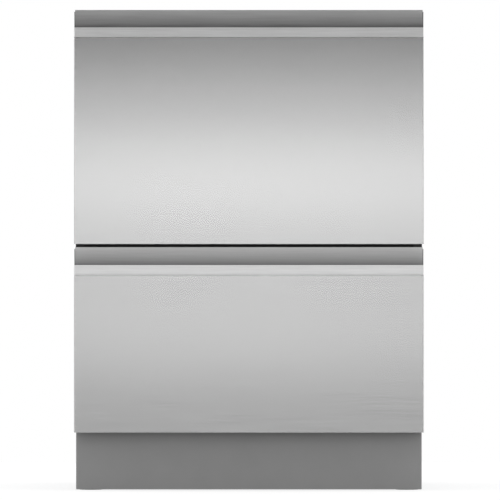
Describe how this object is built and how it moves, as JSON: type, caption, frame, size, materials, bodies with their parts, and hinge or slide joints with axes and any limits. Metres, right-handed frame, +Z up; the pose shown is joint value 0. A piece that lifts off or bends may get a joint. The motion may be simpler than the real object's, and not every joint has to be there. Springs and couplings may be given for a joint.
{
  "type": "double drawer dishwasher",
  "caption": "Built-in dishwasher with two wash drawers on telescopic runners, each with lid, racks, spray arm and dispenser, over a toe kick.",
  "frame": {"origin": "on the floor, at the middle of the width and depth of the closed machine", "axes": "+Z up, +X to the right seen from the front, fronts face -Y"},
  "size_m": [0.599, 0.573, 0.823],
  "materials": {
    "stainless": "satin stainless skin",
    "brushed_lip": "stainless, brushed along its length",
    "galvanised": "galvanised sheet",
    "black_steel": "satin black paint",
    "kick_steel": "satin grey paint",
    "tub_plastic": "light grey moulding",
    "lid_plastic": "pale grey moulding",
    "frame_plastic": "dark grey moulding",
    "nylon_wire": "steel wire with grey nylon coating",
    "basket_plastic": "mid grey moulding",
    "seal_rubber": "matt rubber",
    "motor_plastic": "black moulding",
    "dispenser_plastic": "white moulding",
    "button_metal": "satin chrome",
    "valve_plastic": "off-white moulding",
    "foot_plastic": "black moulding"
  },
  "bodies": {
    "cabinet": {"left_side_panel": "galvanised", "right_side_panel": "galvanised", "base_tray": "galvanised", "top_front_rail": "galvanised", "middle_rail": "black_steel", "rear_panel": "galvanised", "toe_kick": "kick_steel", "inlet_valve": "valve_plastic", "lower_left_runner_outer": "galvanised", "lower_right_runner_outer": "galvanised", "lower_left_lid_actuator": "motor_plastic", "lower_right_lid_actuator": "motor_plastic", "upper_left_runner_outer": "galvanised", "upper_right_runner_outer": "galvanised", "upper_left_lid_actuator": "motor_plastic", "upper_right_lid_actuator": "motor_plastic"},
    "lower_drawer": {"lower_front_panel": "stainless", "lower_handle_rail": "brushed_lip", "lower_door_frame": "frame_plastic", "lower_tub": "tub_plastic", "lower_filter_plate": "tub_plastic", "lower_wash_motor": "motor_plastic", "lower_dish_rack": "nylon_wire", "lower_cutlery_basket": "basket_plastic", "lower_dispenser": "dispenser_plastic", "lower_left_runner_inner": "galvanised", "lower_right_runner_inner": "galvanised"},
    "lower_left_runner_middle_member": {"lower_left_runner_middle": "galvanised"},
    "lower_right_runner_middle_member": {"lower_right_runner_middle": "galvanised"},
    "lower_lid_assembly": {"lower_lid": "lid_plastic", "lower_lid_seal": "seal_rubber"},
    "lower_spray_arm_rotor": {"lower_spray_arm": "basket_plastic"},
    "lower_cup_shelf": {"lower_cup_rack": "nylon_wire"},
    "lower_detergent_door": {"lower_dispenser_door": "dispenser_plastic"},
    "lower_power_button_cap": {"lower_power_button": "button_metal"},
    "lower_start_button_cap": {"lower_start_button": "button_metal"},
    "upper_drawer": {"upper_front_panel": "stainless", "upper_handle_rail": "brushed_lip", "upper_door_frame": "frame_plastic", "upper_tub": "tub_plastic", "upper_filter_plate": "tub_plastic", "upper_wash_motor": "motor_plastic", "upper_dish_rack": "nylon_wire", "upper_cutlery_basket": "basket_plastic", "upper_dispenser": "dispenser_plastic", "upper_left_runner_inner": "galvanised", "upper_right_runner_inner": "galvanised"},
    "upper_left_runner_middle_member": {"upper_left_runner_middle": "galvanised"},
    "upper_right_runner_middle_member": {"upper_right_runner_middle": "galvanised"},
    "upper_lid_assembly": {"upper_lid": "lid_plastic", "upper_lid_seal": "seal_rubber"},
    "upper_spray_arm_rotor": {"upper_spray_arm": "basket_plastic"},
    "upper_cup_shelf": {"upper_cup_rack": "nylon_wire"},
    "upper_detergent_door": {"upper_dispenser_door": "dispenser_plastic"},
    "upper_power_button_cap": {"upper_power_button": "button_metal"},
    "upper_start_button_cap": {"upper_start_button": "button_metal"},
    "front_left_foot_screw": {"front_left_foot": "foot_plastic"},
    "front_right_foot_screw": {"front_right_foot": "foot_plastic"},
    "rear_left_foot_screw": {"rear_left_foot": "foot_plastic"},
    "rear_right_foot_screw": {"rear_right_foot": "foot_plastic"}
  },
  "joints": [
    {"name": "lower_drawer_slide", "type": "slide", "parent": "cabinet", "child": "lower_drawer", "axis": [0, -1, 0], "range_m": [0, 0.5]},
    {"name": "lower_left_runner_extension", "type": "slide", "parent": "cabinet", "child": "lower_left_runner_middle_member", "axis": [0, -1, 0], "range_m": [0, 0.25]},
    {"name": "lower_right_runner_extension", "type": "slide", "parent": "cabinet", "child": "lower_right_runner_middle_member", "axis": [0, -1, 0], "range_m": [0, 0.25]},
    {"name": "lower_lid_drop", "type": "slide", "parent": "cabinet", "child": "lower_lid_assembly", "axis": [0, 0, -1], "range_m": [0, 0.006]},
    {"name": "lower_spray_arm_spin", "type": "hinge", "parent": "lower_drawer", "child": "lower_spray_arm_rotor", "pos_m": [0, 0.02105, 0.1595], "axis": [0, 0, 1], "continuous": true},
    {"name": "lower_cup_rack_fold", "type": "hinge", "parent": "lower_drawer", "child": "lower_cup_shelf", "pos_m": [-0.2332, 0.021, 0.2635], "axis": [0, -1, 0], "range_deg": [0, 80]},
    {"name": "lower_dispenser_door_fall", "type": "hinge", "parent": "lower_drawer", "child": "lower_detergent_door", "pos_m": [-0.031, -0.18113, 0.2637], "axis": [-1, 0, 0], "range_deg": [0, 90]},
    {"name": "lower_power_button_press", "type": "slide", "parent": "lower_drawer", "child": "lower_power_button_cap", "axis": [0, 0, -1], "range_m": [0, 0.0012], "stiffness_N_per_m": 300, "springref_m": -0.0005},
    {"name": "lower_start_button_press", "type": "slide", "parent": "lower_drawer", "child": "lower_start_button_cap", "axis": [0, 0, -1], "range_m": [0, 0.0012], "stiffness_N_per_m": 300, "springref_m": -0.0005},
    {"name": "upper_drawer_slide", "type": "slide", "parent": "cabinet", "child": "upper_drawer", "axis": [0, -1, 0], "range_m": [0, 0.5]},
    {"name": "upper_left_runner_extension", "type": "slide", "parent": "cabinet", "child": "upper_left_runner_middle_member", "axis": [0, -1, 0], "range_m": [0, 0.25]},
    {"name": "upper_right_runner_extension", "type": "slide", "parent": "cabinet", "child": "upper_right_runner_middle_member", "axis": [0, -1, 0], "range_m": [0, 0.25]},
    {"name": "upper_lid_drop", "type": "slide", "parent": "cabinet", "child": "upper_lid_assembly", "axis": [0, 0, -1], "range_m": [0, 0.006]},
    {"name": "upper_spray_arm_spin", "type": "hinge", "parent": "upper_drawer", "child": "upper_spray_arm_rotor", "pos_m": [0, 0.02105, 0.51675], "axis": [0, 0, 1], "continuous": true},
    {"name": "upper_cup_rack_fold", "type": "hinge", "parent": "upper_drawer", "child": "upper_cup_shelf", "pos_m": [-0.2332, 0.021, 0.62075], "axis": [0, -1, 0], "range_deg": [0, 80]},
    {"name": "upper_dispenser_door_fall", "type": "hinge", "parent": "upper_drawer", "child": "upper_detergent_door", "pos_m": [-0.031, -0.18113, 0.62095], "axis": [-1, 0, 0], "range_deg": [0, 90]},
    {"name": "upper_power_button_press", "type": "slide", "parent": "upper_drawer", "child": "upper_power_button_cap", "axis": [0, 0, -1], "range_m": [0, 0.0012], "stiffness_N_per_m": 300, "springref_m": -0.0005},
    {"name": "upper_start_button_press", "type": "slide", "parent": "upper_drawer", "child": "upper_start_button_cap", "axis": [0, 0, -1], "range_m": [0, 0.0012], "stiffness_N_per_m": 300, "springref_m": -0.0005},
    {"name": "front_left_foot_height", "type": "slide", "parent": "cabinet", "child": "front_left_foot_screw", "axis": [0, 0, -1], "range_m": [0, 0.055]},
    {"name": "front_right_foot_height", "type": "slide", "parent": "cabinet", "child": "front_right_foot_screw", "axis": [0, 0, -1], "range_m": [0, 0.055]},
    {"name": "rear_left_foot_height", "type": "slide", "parent": "cabinet", "child": "rear_left_foot_screw", "axis": [0, 0, -1], "range_m": [0, 0.055]},
    {"name": "rear_right_foot_height", "type": "slide", "parent": "cabinet", "child": "rear_right_foot_screw", "axis": [0, 0, -1], "range_m": [0, 0.055]}
  ],
  "couplings": [
    {"joint": "lower_left_runner_extension", "follows": "lower_drawer_slide", "ratio": 0.5},
    {"joint": "lower_right_runner_extension", "follows": "lower_drawer_slide", "ratio": 0.5},
    {"joint": "upper_left_runner_extension", "follows": "upper_drawer_slide", "ratio": 0.5},
    {"joint": "upper_right_runner_extension", "follows": "upper_drawer_slide", "ratio": 0.5}
  ]
}
